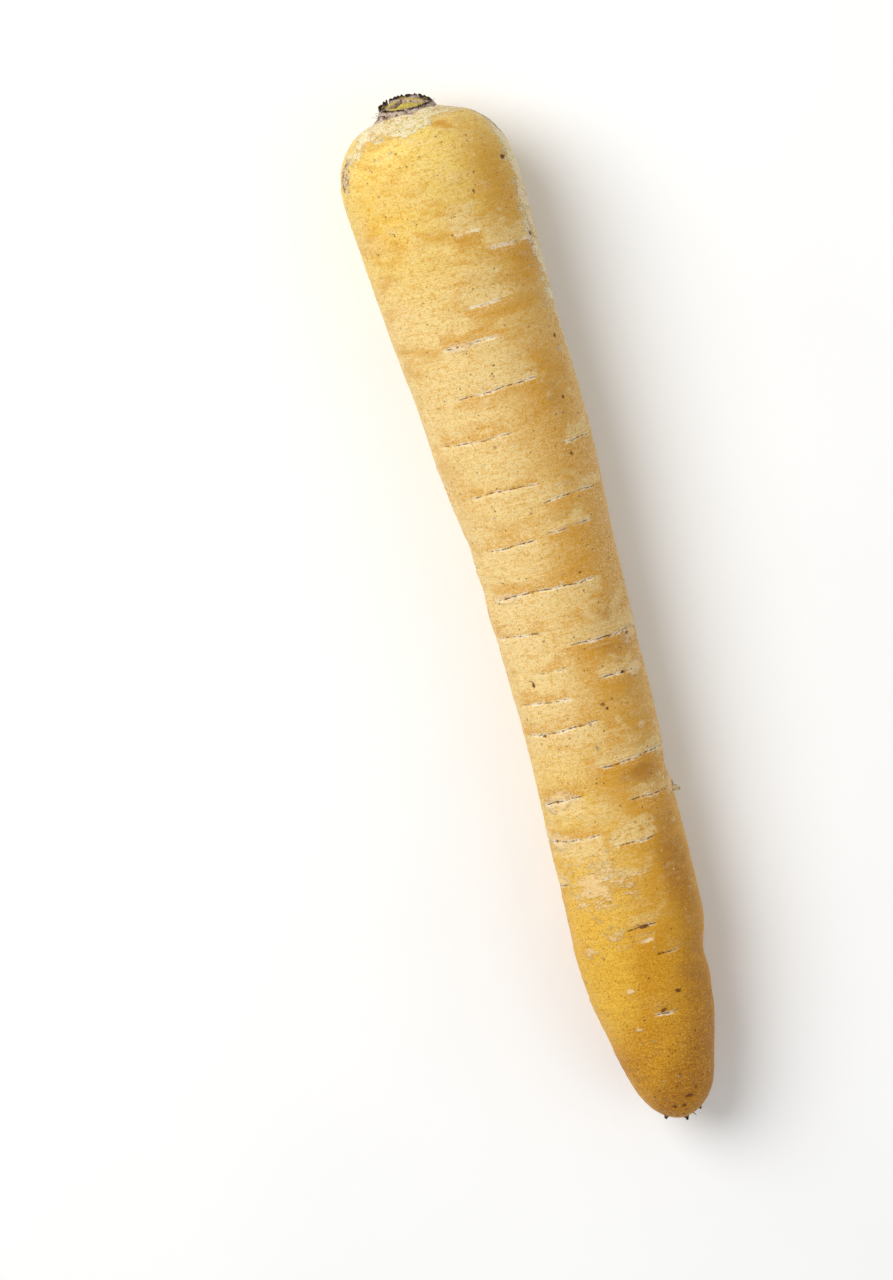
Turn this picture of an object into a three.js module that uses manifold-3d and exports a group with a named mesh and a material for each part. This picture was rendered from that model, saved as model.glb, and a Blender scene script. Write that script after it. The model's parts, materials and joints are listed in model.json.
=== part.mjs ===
// A whole yellow carrot lying on its side, with its leaves cut off close to the crown.
//
// Units are millimetres and +Z is up. The root lies along Y with its crown towards +Y, and it rests on
// Z = 0 with the origin under the middle of its box. It touches the floor at its shoulder and at the
// swell near its end, where its own weight has pressed two small flats.
//
// The root is one solid, turned as a lathe shape and then bowed and made a little uneven. What grew from
// it as an organ of its own is a solid of its own: the cut leaf stalks in two whorls round the heart
// bud, the dried side rootlet, and the wiry rootlets left at the root's end.

import * as THREE from "three";
import { mergeVertices } from "three/addons/utils/BufferGeometryUtils.js";
import Module from "manifold-3d";

// The root: its length from the face of its stem plate to its end, and its radius at each station. A
// station is a share of the length, so that the form stretches with it.
const ROOT_LENGTH = 208;
const SHOULDER_RADIUS = 17.3;
const SHOULDER_DEPTH = 14;
const SHOULDER_END = 22; // the full radius holds from the shoulder's depth to here
const BODY_RADIUS = 16.1;
const BODY_STATION = 0.26;
const WAIST_RADIUS = 13.7;
const WAIST_STATION = 0.5;
const NECK_RADIUS = 12.95;
const NECK_STATION = 0.665;
const SWELL_RADIUS = 13.4;
const SWELL_STATION = 0.78;

// The tail's outline leaves the swell straight and meets the end square; these set how full it is.
const TAIL_HOLD = 16;
const TIP_BLUNTNESS = 10.5;

// The stem plate: the low disc that the leaves grew on, with a papery foot.
const PLATE_RADIUS = 6;
const PLATE_FLARE = 0.7;
const PLATE_HEIGHT = 0.5;

// How far the root bows sideways, towards +X: half way to the middle, at the middle, at the swell and at
// the end.
const UPPER_BOW = 2.1;
const BOW = 3.9;
const BOW_STATION = 0.42;
const LOWER_BOW = 3.5;
const SWELL_BOW = 2.7;
const TIP_BOW = 1.3;

// Departures from a round section, as shares of the radius.
const OVAL = 0.012;
const LOBE = 0.01;
const LOBE_TWIST = 0.9; // turns of the three lobes over the length
const SWAY = 0.005;
const SWAY_WAVES = 3.5; // over the length

const FLAT_DEPTH = 0.35; // how deep the weight has pressed each resting flat
const STEEPEST_PITCH = 9; // degrees that the root may lie out of level
const CLEARANCE = 0.3; // between one solid and the next
const OVERSIZE = 3; // how many times larger than the piece a cutter or a blank is made

// The leaf stalks, all cut through by one slanting stroke that leaves them low towards +Z and +X.
const OUTER_STALKS = 5;
const OUTER_STALK_THICKNESS = 1.5;
const OUTER_STALK_TURN = 0.3; // radians
const INNER_STALKS = 4;
const INNER_STALK_THICKNESS = 1.2;
const INNER_STALK_TURN = 0.9; // radians
const CUT_HEIGHT = 2; // at the middle, above the stalks' feet
const CUT_SLANT = 12; // degrees
const CUT_FACING = 62; // degrees from +X towards +Z
const BUD_HEIGHT = 1.3;

// The rootlets. Each is placed by its distance from the root's end, measured over the skin, and by its
// angle from +X towards +Z.
const SIDE_ROOTLET = { fromEnd: 70, angle: 14, radius: 0.8, length: 1.7 };
const TIP_ROOTLETS = [
  { fromEnd: 3.4, angle: 176, radius: 0.55, length: 0.9 },
  { fromEnd: 0.9, angle: 300, radius: 0.65, length: 1.3 },
  { fromEnd: 3.6, angle: 8, radius: 0.55, length: 0.8 },
];

// Fineness of the solids: rings along each stretch of the root, and sides round it.
const SHOULDER_RINGS = 10;
const BODY_RINGS = 34;
const TAIL_RINGS = 24;
const SIDES = 44;
const SMALL_SIDES = 10;

const SKIN = { color: 0xdcae55, roughness: 0.5, metalness: 0 };
const DRY_STALK = { color: 0x7a6238, roughness: 0.9, metalness: 0 };
const GREEN_STALK = { color: 0xbfae4e, roughness: 0.75, metalness: 0 };
const DRY_ROOTLET = { color: 0x6b4f30, roughness: 0.95, metalness: 0 };

const wasm = await Module();
wasm.setup();

// The solid of a closed geometry, for cutting.
function toSolid(geometry) {
  const bare = geometry.clone();
  bare.deleteAttribute("normal");
  bare.deleteAttribute("uv");
  const merged = mergeVertices(bare, 1e-4);
  return new wasm.Manifold(
    new wasm.Mesh({
      numProp: 3,
      vertProperties: merged.attributes.position.array,
      triVerts: new Uint32Array(merged.index.array),
    }),
  );
}

function toGeometry(solid) {
  const mesh = solid.getMesh();
  const geometry = new THREE.BufferGeometry();
  geometry.setAttribute("position", new THREE.BufferAttribute(mesh.vertProperties, 3));
  geometry.setIndex(new THREE.BufferAttribute(mesh.triVerts, 1));
  geometry.computeVertexNormals();
  return geometry;
}

function namedMesh(name, geometry, finish) {
  const mesh = new THREE.Mesh(geometry, new THREE.MeshStandardMaterial(finish));
  mesh.name = name;
  return mesh;
}

// A point of the root's outline, with its radius across and its distance from the stem plate downwards.
function station(radius, along) {
  return new THREE.Vector2(radius, -along);
}

// Half of the root's outline, from the middle of the stem plate to the root's end.
function rootOutline() {
  const plateBase = PLATE_RADIUS + PLATE_FLARE;
  const shoulder = new THREE.EllipseCurve(
    plateBase,
    -SHOULDER_DEPTH,
    SHOULDER_RADIUS - plateBase,
    SHOULDER_DEPTH - PLATE_HEIGHT,
    Math.PI / 2,
    0,
    true,
  );
  const body = new THREE.SplineCurve([
    station(SHOULDER_RADIUS, SHOULDER_DEPTH),
    station(SHOULDER_RADIUS, SHOULDER_END),
    station(BODY_RADIUS, ROOT_LENGTH * BODY_STATION),
    station(WAIST_RADIUS, ROOT_LENGTH * WAIST_STATION),
    station(NECK_RADIUS, ROOT_LENGTH * NECK_STATION),
    station(SWELL_RADIUS, ROOT_LENGTH * SWELL_STATION),
  ]);
  const tail = new THREE.CubicBezierCurve(
    station(SWELL_RADIUS, ROOT_LENGTH * SWELL_STATION),
    station(SWELL_RADIUS, ROOT_LENGTH * SWELL_STATION + TAIL_HOLD),
    station(TIP_BLUNTNESS, ROOT_LENGTH),
    station(0, ROOT_LENGTH),
  );
  const outline = new THREE.CurvePath();
  outline.add(new THREE.LineCurve(station(0, 0), station(PLATE_RADIUS, 0)));
  outline.add(new THREE.LineCurve(station(PLATE_RADIUS, 0), station(plateBase, PLATE_HEIGHT)));
  outline.add(shoulder);
  outline.add(body);
  outline.add(tail);
  return outline;
}

const outline = rootOutline();

// The outline as points: both edges of the stem plate are kept, and each curve has its own rings.
function outlinePoints() {
  const rings = [1, 1, SHOULDER_RINGS, BODY_RINGS, TAIL_RINGS];
  const points = [station(0, 0)];
  outline.curves.forEach((curve, i) => points.push(...curve.getSpacedPoints(rings[i]).slice(1)));
  points[points.length - 1].x = 0;
  return points;
}

// The root's sideways bow, as a smooth curve over its length.
const bowPoints = new THREE.SplineCurve([
  new THREE.Vector2(0, 0),
  new THREE.Vector2(ROOT_LENGTH * BOW_STATION * 0.5, UPPER_BOW),
  new THREE.Vector2(ROOT_LENGTH * BOW_STATION, BOW),
  new THREE.Vector2(ROOT_LENGTH * (BOW_STATION + SWELL_STATION) * 0.5, LOWER_BOW),
  new THREE.Vector2(ROOT_LENGTH * SWELL_STATION, SWELL_BOW),
  new THREE.Vector2(ROOT_LENGTH * (SWELL_STATION + 1) * 0.5, TIP_BOW),
  new THREE.Vector2(ROOT_LENGTH, TIP_BOW),
]).getPoints(140);

function bowAt(along) {
  const next = bowPoints.findIndex((point) => point.x >= along);
  if (next < 0) return TIP_BOW;
  if (next === 0) return 0;
  const before = bowPoints[next - 1];
  const after = bowPoints[next];
  const share = (along - before.x) / (after.x - before.x);
  return THREE.MathUtils.lerp(before.y, after.y, share);
}

// How much further out than round the skin lies, as a factor. Angle 0 is +X and a quarter turn is +Z.
function unevenness(along, angle) {
  const share = along / ROOT_LENGTH;
  const oval = OVAL * Math.cos(2 * angle);
  const lobes = LOBE * Math.cos(3 * angle + 2 * Math.PI * LOBE_TWIST * share);
  const sway = SWAY * Math.cos(angle - 1 + 2 * Math.PI * SWAY_WAVES * share);
  return 1 + oval + lobes + sway;
}

// A place on the skin, from a point of the outline and an angle. The root's axis runs along Y, and the
// face of its stem plate is at Y = 0.
function skinPoint(outlinePoint, angle) {
  const along = -outlinePoint.y;
  const radius = outlinePoint.x * unevenness(along, angle);
  const x = radius * Math.cos(angle) + bowAt(along);
  return new THREE.Vector3(x, -along, radius * Math.sin(angle));
}

function growRoot() {
  const geometry = new THREE.LatheGeometry(outlinePoints().reverse(), SIDES);
  const position = geometry.attributes.position;
  for (let i = 0; i < position.count; i++) {
    const angle = Math.atan2(position.getZ(i), position.getX(i));
    const radius = Math.hypot(position.getX(i), position.getZ(i));
    const point = skinPoint(new THREE.Vector2(radius, position.getY(i)), angle);
    position.setXYZ(i, point.x, point.y, point.z);
  }
  return geometry;
}

// How low the skin reaches at a pitch, on the stretch between two shares of the outline's length.
function lowestPoint(pitch, from, to) {
  let lowest = Infinity;
  const steps = 80;
  for (let i = 0; i <= steps; i++) {
    const under = skinPoint(outline.getPoint(THREE.MathUtils.lerp(from, to, i / steps)), -Math.PI / 2);
    lowest = Math.min(lowest, under.y * Math.sin(pitch) + under.z * Math.cos(pitch));
  }
  return lowest;
}

// The pitch at which the shoulder and the swell lie equally low.
function restingPitch() {
  let low = 0;
  let high = THREE.MathUtils.degToRad(STEEPEST_PITCH);
  for (let i = 0; i < 40; i++) {
    const pitch = (low + high) / 2;
    const shoulder = lowestPoint(pitch, 0, 0.4);
    const swell = lowestPoint(pitch, 0.6, 1);
    if (shoulder < swell) low = pitch;
    else high = pitch;
  }
  return low;
}

const pitch = restingPitch();

// The root with its two resting flats cut by the floor.
function pressedRoot() {
  const floor = lowestPoint(pitch, 0, 1) + FLAT_DEPTH;
  const depth = SHOULDER_RADIUS;
  const slab = new THREE.BoxGeometry(2 * OVERSIZE * SHOULDER_RADIUS, OVERSIZE * ROOT_LENGTH, depth);
  slab.translate(0, 0, floor - depth / 2);
  slab.rotateX(-pitch);
  return toGeometry(toSolid(growRoot()).subtract(toSolid(slab)));
}

// What the cutting stroke took away: a block whose underside is the slanting cut.
function cutAway() {
  const size = 2 * OVERSIZE * PLATE_RADIUS;
  const block = new THREE.BoxGeometry(size, size, size);
  block.translate(0, size / 2, 0);
  const facing = THREE.MathUtils.degToRad(CUT_FACING);
  const tiltAxis = new THREE.Vector3(Math.sin(facing), 0, -Math.cos(facing));
  const tilt = new THREE.Quaternion().setFromAxisAngle(tiltAxis, THREE.MathUtils.degToRad(CUT_SLANT));
  block.applyQuaternion(tilt);
  block.translate(0, CUT_HEIGHT, 0);
  return toSolid(block);
}

// One cut leaf stalk: a crescent of a given outer radius, with its back to the outside, that takes up
// its share of the whorl.
function leafStalk(whorl, turn, cut) {
  const halfGap = CLEARANCE / 2 / whorl.radius;
  const half = Math.PI / whorl.count - halfGap;
  const endX = whorl.radius * Math.cos(half);
  const endY = whorl.radius * Math.sin(half);
  const crescent = new THREE.Shape();
  crescent.absarc(0, 0, whorl.radius, -half, half, false);
  crescent.quadraticCurveTo(2 * (whorl.radius - whorl.thickness) - endX, 0, endX, -endY);
  const geometry = new THREE.ExtrudeGeometry(crescent, {
    depth: OVERSIZE * PLATE_RADIUS,
    bevelEnabled: false,
    curveSegments: SMALL_SIDES,
  });
  geometry.rotateX(-Math.PI / 2);
  geometry.rotateY(turn);
  return toGeometry(toSolid(geometry).subtract(cut));
}

// A whorl of leaf stalks round the heart bud.
function addWhorl(crown, name, finish, whorl, cut) {
  for (let i = 0; i < whorl.count; i++) {
    const turn = whorl.turn + (2 * Math.PI * i) / whorl.count;
    crown.add(namedMesh(`${name}_${i + 1}`, leafStalk(whorl, turn, cut), finish));
  }
}

// The inner whorl fits within the hollow that the outer whorl's crescents leave.
function innerWhorlRadius() {
  return PLATE_RADIUS - OUTER_STALK_THICKNESS - CLEARANCE;
}

function heartBud() {
  const radius = innerWhorlRadius() - INNER_STALK_THICKNESS - CLEARANCE;
  const profile = new THREE.Path();
  profile.moveTo(0, 0);
  profile.lineTo(radius * 0.8, 0);
  profile.quadraticCurveTo(radius, BUD_HEIGHT * 0.8, 0, BUD_HEIGHT);
  return new THREE.LatheGeometry(profile.getPoints(SMALL_SIDES), 2 * SMALL_SIDES);
}

function addCrown(root) {
  const crown = new THREE.Group();
  const cut = cutAway();
  const outer = {
    count: OUTER_STALKS,
    radius: PLATE_RADIUS,
    thickness: OUTER_STALK_THICKNESS,
    turn: OUTER_STALK_TURN,
  };
  const inner = {
    count: INNER_STALKS,
    radius: innerWhorlRadius(),
    thickness: INNER_STALK_THICKNESS,
    turn: INNER_STALK_TURN,
  };
  addWhorl(crown, "outer_leaf_stalk", DRY_STALK, outer, cut);
  addWhorl(crown, "inner_leaf_stalk", GREEN_STALK, inner, cut);
  crown.add(namedMesh("heart_bud", heartBud(), GREEN_STALK));
  crown.position.y = CLEARANCE;
  root.add(crown);
}

// A dried rootlet: a short taper that leaves the skin square to it.
function addRootlet(root, name, { fromEnd, angle, radius, length }) {
  const profile = [
    new THREE.Vector2(0, 0),
    new THREE.Vector2(radius, 0),
    new THREE.Vector2(radius * 0.7, length * 0.45),
    new THREE.Vector2(radius * 0.35, length),
    new THREE.Vector2(0, length),
  ];
  const mesh = namedMesh(name, new THREE.LatheGeometry(profile, SMALL_SIDES), DRY_ROOTLET);
  const turn = THREE.MathUtils.degToRad(angle);
  const share = 1 - fromEnd / outline.getLength();
  const place = outline.getPoint(share);
  const nudge = 0.001;
  const lengthwise = skinPoint(outline.getPoint(share - nudge), turn)
    .sub(skinPoint(outline.getPoint(share + nudge), turn));
  const around = skinPoint(place, turn + nudge).sub(skinPoint(place, turn - nudge));
  const outward = lengthwise.cross(around).normalize();
  mesh.position.copy(skinPoint(place, turn)).addScaledVector(outward, CLEARANCE);
  mesh.quaternion.setFromUnitVectors(new THREE.Vector3(0, 1, 0), outward);
  root.add(mesh);
}

function addRootlets(root) {
  addRootlet(root, "side_rootlet", SIDE_ROOTLET);
  TIP_ROOTLETS.forEach((rootlet, i) => addRootlet(root, `tip_rootlet_${i + 1}`, rootlet));
}

function buildCarrot() {
  const carrot = new THREE.Group();
  const root = new THREE.Group();
  root.rotation.x = pitch;
  root.add(namedMesh("taproot", pressedRoot(), SKIN));
  addCrown(root);
  addRootlets(root);
  carrot.add(root);
  // The origin goes under the middle of the box, on the floor.
  carrot.updateMatrixWorld(true);
  const box = new THREE.Box3().setFromObject(carrot, true);
  const middle = box.getCenter(new THREE.Vector3());
  root.position.set(-middle.x, -middle.y, -box.min.z);
  return carrot;
}

export default buildCarrot();
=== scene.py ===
import json
import math
import random

import bmesh
import bpy
import numpy as np
from bpy.props import FloatProperty, FloatVectorProperty, IntProperty, PointerProperty
from bpy.types import Operator, Panel, PropertyGroup
from mathutils import Matrix, Vector, noise
from mathutils.bvhtree import BVHTree

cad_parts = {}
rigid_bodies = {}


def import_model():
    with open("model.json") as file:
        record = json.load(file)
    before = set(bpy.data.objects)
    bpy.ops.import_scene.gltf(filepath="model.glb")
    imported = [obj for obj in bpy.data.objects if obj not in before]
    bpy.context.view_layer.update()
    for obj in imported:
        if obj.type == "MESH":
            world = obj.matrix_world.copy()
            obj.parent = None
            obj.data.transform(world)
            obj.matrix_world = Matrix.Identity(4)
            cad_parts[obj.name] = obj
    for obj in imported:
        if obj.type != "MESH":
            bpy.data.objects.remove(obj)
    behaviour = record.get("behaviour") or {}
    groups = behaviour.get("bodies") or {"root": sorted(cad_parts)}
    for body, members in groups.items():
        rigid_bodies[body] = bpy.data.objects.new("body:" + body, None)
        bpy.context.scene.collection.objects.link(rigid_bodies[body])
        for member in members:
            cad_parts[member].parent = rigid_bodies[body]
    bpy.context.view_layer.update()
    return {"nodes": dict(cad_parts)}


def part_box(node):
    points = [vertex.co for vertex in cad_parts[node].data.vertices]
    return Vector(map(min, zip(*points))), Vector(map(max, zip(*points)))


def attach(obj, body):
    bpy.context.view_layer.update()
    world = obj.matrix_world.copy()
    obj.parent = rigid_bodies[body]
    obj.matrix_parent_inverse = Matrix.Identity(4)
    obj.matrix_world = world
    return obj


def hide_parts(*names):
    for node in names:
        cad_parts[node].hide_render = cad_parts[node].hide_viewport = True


bl_info = {
    "name": "Yellow Carrot",
    "version": (1, 0, 0),
    "blender": (4, 5, 0),
    "location": "3D View > Sidebar > Carrot",
    "description": "Grows the skin, crown and rootlets of a yellow carrot round its packed frame",
    "category": "Object",
}

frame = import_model()

MM = 0.001
JOIN = 0.001 * MM  # loose corners closer than this are one
BEYOND = 0.2  # metres, well outside the carrot
ROOTED = 0.06 * MM  # how deep the foot of a hair stands in what it grows from
NODES = frame["nodes"]
OUTER_STALKS = sorted(name for name in NODES if name.startswith("outer_leaf_stalk"))
INNER_STALKS = sorted(name for name in NODES if name.startswith("inner_leaf_stalk"))
TIP_ROOTLETS = sorted(name for name in NODES if name.startswith("tip_rootlet"))

ROOT_SPAN = 208  # mm from the stem plate to the root's end
STALK_RADIUS = 6  # mm from the middle of the crown to the outside of the stalks

# Places on the root. A station is millimetres from the stem plate towards the root's end. A turn is
# degrees round the root: 0 is the top, 90 is +X, -90 is -X and 180 is underneath.

# The furrows of the upper side: station, first turn, last turn, depth and cork, both from 0 to 1.
FURROWS = (
    (25, 3, 24, 0.0, 1.0),
    (29, 22, 70, 0.2, 1.0),
    (39, -6, 30, 0.35, 1.0),
    (46, -30, 16, 0.5, 0.9),
    (56, -34, 35, 0.7, 0.7),
    (65, -64, 6, 0.5, 0.5),
    (70, 35, 78, 0.6, 0.6),
    (76, -54, 14, 0.6, 0.5),
    (80, 5, 74, 0.7, 0.5),
    (86, 2, 50, 0.5, 0.5),
    (87, -52, -2, 0.6, 0.6),
    (97, -62, 40, 1.0, 1.0),
    (105, -78, -16, 0.7, 0.7),
    (109, -6, 82, 0.9, 0.9),
    (113, -40, -4, 0.35, 0.4),
    (117, 15, 60, 0.8, 0.7),
    (119, -68, -8, 0.6, 0.7),
    (125, -72, 10, 0.7, 0.7),
    (134, -5, 82, 0.8, 0.8),
    (139, -72, -22, 0.9, 1.0),
    (142, 15, 68, 0.7, 0.6),
    (147, -80, -12, 0.5, 0.9),
    (150, -8, 38, 0.6, 0.7),
    (156, -28, 30, 0.2, 0.4),
    (167, -12, 18, 1.0, 0.4),
    (170, -6, 11, 0.1, 0.9),
    (173, 8, 36, 0.9, 0.3),
    (185, -8, 24, 0.9, 0.6),
)

# Marks on the upper side: station, turn, length along the root, width round it (mm), and amount.
# A blemish is golden up to about 0.9, rusty above it, and bare yellow below nought. Not all of them are
# blemishes: the long golden and rusty marks down the +X side are painted shade, and the long bare yellow ones
# on the -X side are painted light.
MARKS = {
    "cork": (
        (46, -14, 2.0, 6, 0.8),
        (97, -50, 2.0, 6, 1.0),
        (110, 62, 3.0, 8, 0.9),
        (117, 56, 3.5, 7, 0.9),
        (128, 47, 1.4, 2.6, 0.85),
        (134, 70, 2.0, 6, 0.9),
        (139, -50, 3.5, 8, 1.0),
        (142, 76, 5.0, 6, 1.0),
        (147, -62, 3.0, 6, 0.9),
        (157, -30, 10.0, 15, 0.72),
        (170, -56, 4.0, 6, 0.55),
        (169, -21, 4.5, 5, 0.55),
        (179, -21, 1.6, 2.0, 1.0),
        (187, -24, 1.6, 2.4, 0.7),
    ),
    "powder": (
        (32, 84, 44, 10, 0.9),
        (72, 78, 40, 9, 0.8),
        (108, 74, 46, 10, 1.0),
        (140, 80, 22, 8, 0.8),
        (58, -20, 18, 16, 0.5),
        (66, 30, 12, 10, 0.45),
        (90, -30, 14, 16, 0.6),
        (103, -40, 10, 12, 0.6),
        (122, -30, 16, 18, 0.7),
        (131, -35, 10, 14, 0.6),
        (152, -30, 16, 14, 0.6),
        (178, 84, 16, 6, 0.5),
        (196, -56, 10, 6, 0.5),
    ),
    "scurf": (
        (31, 77, 34, 9, 0.8),
        (13, 80, 12, 6, 0.65),
        (8, 86, 9, 7, 0.9),
        (55, 88, 26, 5, 0.55),
        (1.6, -6, 3.6, 22, 1.1),
        (5, -62, 5, 9, 0.6),
        (2, 48, 5, 14, -0.9),
    ),
    "scab": (
        (9, -71, 6, 5.5, 0.85),
        (6, 86, 8, 2.2, 1.1),
        (142, 76, 2.2, 2.4, 0.7),
    ),
    "blemish_and_shading": (
        # Painted shade: the next five long golden and rusty marks darken the shaded +X side of the root.
        (16, 48, 26, 13, 0.6),
        (60, 52, 70, 22, 0.62),
        (110, 46, 60, 20, 0.85),
        (152, 48, 44, 18, 0.85),
        (186, 64, 40, 20, 1.15),
        # The rusty end of the root.
        (198, 20, 16, 26, 1.2),
        # Painted light: the next three long bare yellow marks lighten the lit -X side of the root.
        (176, -44, 44, 22, -0.9),
        (158, -20, 16, 16, -0.5),
        (20, -40, 22, 20, -0.55),
        # The skin's own blemishes, its rusty end and small mottles.
        (3.0, 22, 0.9, 2.6, 1.05),
        (3.9, 27, 0.6, 1.6, 0.95),
        (205, -25, 9, 22, 0.9),
        (30, -40, 6, 10, 0.35),
        (32, 62, 8, 8, 0.5),
        (60, 40, 10, 9, 0.5),
        (75, -58, 12, 8, 0.45),
        (108, 36, 9, 10, 0.5),
        (136, 20, 8, 16, 0.55),
        (158, 42, 16, 12, 0.5),
        (180, 30, 12, 12, 0.4),
    ),
    "pit": (
        (12.6, 63, 1.0, 1.8, 1.0),
        (21.7, -36, 0.7, 0.9, 0.8),
        (23.4, -36, 0.6, 0.8, 0.6),
        (23, 27, 0.6, 1.5, 0.7),
        (28.6, 70, 1.0, 1.3, 1.0),
        (49.4, 64, 1.2, 1.2, 1.0),
        (61.3, 52, 1.0, 1.1, 0.9),
        (72.4, 44, 1.0, 1.0, 0.9),
        (97, -48, 0.7, 1.6, 0.6),
        (110, 58, 0.7, 2.0, 0.8),
        (115, -44, 1.4, 1.0, 0.9),
        (117, 42, 0.6, 1.8, 0.8),
        (122, 14, 0.9, 0.9, 0.9),
        (123, 17, 0.8, 0.8, 0.9),
        (125.5, -47, 0.9, 1.4, 0.8),
        (139, -52, 0.8, 2.2, 0.8),
        (147, -64, 1.0, 1.6, 0.7),
        (167, 4, 0.9, 3.4, 0.8),
        (181.5, 24, 1.3, 1.3, 0.9),
        (184.5, 6, 0.9, 1.6, 0.9),
        (203.5, 20, 0.8, 1.7, 0.9),
        (205.2, 8, 0.8, 1.2, 0.8),
        (202, 34, 1.4, 0.7, 0.8),
        (205, -14, 0.7, 1.1, 0.8),
    ),
}

# Marks strewn where nothing is placed: how many, and the ranges of station, size in mm and amount.
HIDDEN_SIDE = (100, 262)
UPPER_SIDE = (-85, 85)
STREWN = {
    "cork": (26, (20, 200), (2, 7), (0.5, 1.0)),
    "powder": (16, (20, 200), (10, 30), (0.4, 0.9)),
    "scurf": (8, (1, 60), (4, 12), (0.4, 0.9)),
    "scab": (6, (8, 200), (2, 5), (0.4, 0.8)),
    "blemish_and_shading": (14, (20, 190), (5, 12), (0.3, 0.6)),
    "pit": (60, (8, 204), (0.6, 1.3), (0.5, 1.0)),
}
STREWN_UPPER_PITS = (44, (14, 204), (0.45, 0.9), (0.3, 0.7))

# Soft swellings and dents: station, turn, length, width and height, all but the turn in millimetres.
SWELLINGS = (
    (68, -85, 10, 16, 0.35),
    (86, -85, 8, 18, -0.6),
    (90, 88, 14, 16, -0.35),
    (126, 88, 10, 16, 0.3),
    (138, 90, 5, 12, -0.5),
    (142, 76, 2.2, 3, 0.55),
    (147, -85, 12, 14, 0.35),
    (171, -88, 8, 16, 0.25),
    (176, 82, 6, 14, -0.9),
    (188, 80, 5, 12, 0.25),
    (188, -88, 9, 14, -0.6),
    (95, -88, 6, 14, -0.5),
    (204, 90, 8, 12, 0.5),
    (204, -90, 8, 12, 0.4),
    (9, -74, 6, 5, 0.18),
    (40, 150, 18, 22, -0.4),
    (78, 205, 16, 20, 0.4),
    (112, 160, 14, 20, -0.4),
    (150, 150, 12, 18, 0.35),
)


def paint(code):
    """A colour from its six-figure hex code, as the linear numbers that shaders take."""
    parts = [int(code[i : i + 2], 16) / 255 for i in (0, 2, 4)]
    return tuple(p / 12.92 if p <= 0.04045 else ((p + 0.055) / 1.055) ** 2.4 for p in parts)


def colour(name, description, code):
    """A colour property of a piece."""
    return FloatVectorProperty(
        name=name,
        description=description,
        default=paint(code),
        subtype="COLOR",
        size=3,
        min=0,
        max=1,
    )


def length(name, description, millimetres):
    """A length property of a piece, given here in millimetres."""
    return FloatProperty(
        name=name,
        description=description,
        default=millimetres * MM,
        min=0,
        unit="LENGTH",
        precision=5,
    )


class SkinSettings(PropertyGroup):
    """Sizes and colours of the root's skin."""

    sides: IntProperty(name="Sides", description="Faces round the root", default=140, min=24)
    shoulder_rings: IntProperty(name="Shoulder Rings", description="Rings over the shoulder", default=76)
    body_rings: IntProperty(name="Body Rings", description="Rings along the body", default=530)
    tip_rings: IntProperty(name="Tip Rings", description="Rings over the root's end", default=54)
    shoulder_core: length("Shoulder Core", "Depth of the point that the shoulder bulges from", 15)
    tip_core: length("Tip Core", "Depth of the point that the root's end bulges from", 11)
    unevenness: length("Unevenness", "Height of the broad swells all over the skin", 0.22)
    wrinkle: length("Wrinkles", "Height of the fine wrinkles that run round the root", 0.075)
    furrow_depth: length("Furrow Depth", "Depth of the deepest furrow", 0.3)
    lip_height: length("Lip Height", "Height of the corky lips along a furrow", 0.13)
    patch_height: length("Patch Height", "Height of the cork and scab patches", 0.1)
    pit_depth: length("Pit Depth", "Depth of the dark pits", 0.35)
    collar: length("Collar", "How far the skin swells up round the cut stalks", 0.85)
    hidden_furrows: IntProperty(name="Hidden Furrows", description="Furrows on the underside", default=46)
    seed: IntProperty(name="Seed", description="Picks where the underside's marks go", default=7)
    lemon: colour("Lemon", "Skin beside the crown", "f2db7c")
    straw: colour("Straw", "Skin of the upper root", "ebca68")
    cream: colour("Cream", "Skin of the middle, where it is driest", "eed594")
    # Through the blemish marks, gold and rust also paint shade down the +X side, and honey paints light on
    # the -X side and small highlights on the lower root.
    gold: colour("Gold", "Skin between the pale bands", "cf931a")
    honey: colour("Honey", "Bare yellow skin", "efc145")
    amber: colour("Amber", "Skin of the lower root", "cd8f12")
    rust: colour("Rust", "Skin of the root's end", "9c5c0e")
    cork: colour("Cork", "Corky lips and patches", "f0cf9b")
    scurf: colour("Scurf", "Whitish scurf by the crown", "efe8cc")
    scab: colour("Scab", "Grey-brown scab", "86582e")
    pore: colour("Pore", "Dark pores and the floor of the furrows", "6a3a12")
    lip: colour("Lip", "Thin pale lips of the furrows", "f6e8c8")
    moss: colour("Moss", "Green-yellow skin between the scurf", "c9b23e")


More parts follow.
